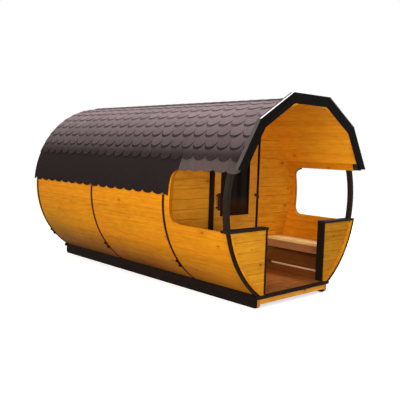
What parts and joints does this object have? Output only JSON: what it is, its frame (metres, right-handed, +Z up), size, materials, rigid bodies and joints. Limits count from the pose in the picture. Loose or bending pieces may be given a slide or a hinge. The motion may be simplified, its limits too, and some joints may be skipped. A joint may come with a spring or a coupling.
{
  "type": "outdoor barrel sauna",
  "caption": "Round timber barrel sauna on skids, with a shingled roof, an open terrace with benches between half walls, and a glazed hinged door.",
  "frame": {"origin": "on the ground, midway between the front and back ends of the roof and between the two sides", "axes": "+Y along the barrel from the terrace to the back wall, +X to the right seen from the terrace's front, +Z up"},
  "size_m": [2.1916, 3.929, 2.1817],
  "materials": {
    "pine_stain": "honey stained softwood, satin",
    "dark_stain": "near-black brown stain, satin",
    "floor_stain": "brown stained boards, satin",
    "bench_pine": "pale oiled softwood, satin",
    "shingle": "bitumen shingle with mauve-brown mineral granules, matte",
    "flashing_metal": "light grey coated sheet metal, satin",
    "band_steel": "dark brown coated steel, satin",
    "hinge_steel": "dark coated steel, satin",
    "door_glass": "smoked toughened glass, clear gloss",
    "handle_wood": "dark red-brown stain, satin"
  },
  "bodies": {
    "building": {"base_skid_left": "dark_stain", "base_skid_right": "dark_stain", "base_crossbeams": "pine_stain", "floor_terrace": "floor_stain", "floor_room": "floor_stain", "floor_edge_trims": "dark_stain", "shell_lower_left": "pine_stain", "shell_lower_right": "pine_stain", "shell_side_left": "pine_stain", "shell_side_right": "pine_stain", "shell_shoulder_left": "pine_stain", "shell_shoulder_right": "pine_stain", "shell_crown": "pine_stain", "roof_cover_left": "shingle", "roof_cover_right": "shingle", "roof_cover_crown": "shingle", "fascia_front": "dark_stain", "fascia_back": "dark_stain", "roof_flashings": "flashing_metal", "arch_trims": "dark_stain", "band_straps_left": "band_steel", "band_straps_right": "band_steel", "band_clamps": "band_steel", "wall_front_left": "pine_stain", "wall_front_right": "pine_stain", "wall_front_over_door": "pine_stain", "wall_back": "pine_stain", "half_wall_left": "pine_stain", "half_wall_right": "pine_stain", "half_wall_caps": "dark_stain", "half_wall_end_trims": "dark_stain", "arch_posts": "dark_stain", "bench_slats_left": "bench_pine", "bench_slats_right": "bench_pine", "bench_frame_left": "bench_pine", "bench_frame_right": "bench_pine", "skirting_battens": "bench_pine", "door_frame": "pine_stain", "door_threshold": "floor_stain", "door_casing": "dark_stain", "door_hinge_pins": "hinge_steel"},
    "door": {"door_leaf": "pine_stain", "door_glass": "door_glass", "door_handles": "handle_wood", "door_hinge_leaves": "hinge_steel"}
  },
  "joints": [
    {"name": "door_swing", "type": "hinge", "parent": "building", "child": "door", "pos_m": [0.3835, -0.9415, 1.045], "axis": [0, 0, 1], "range_deg": [0, 95]}
  ]
}
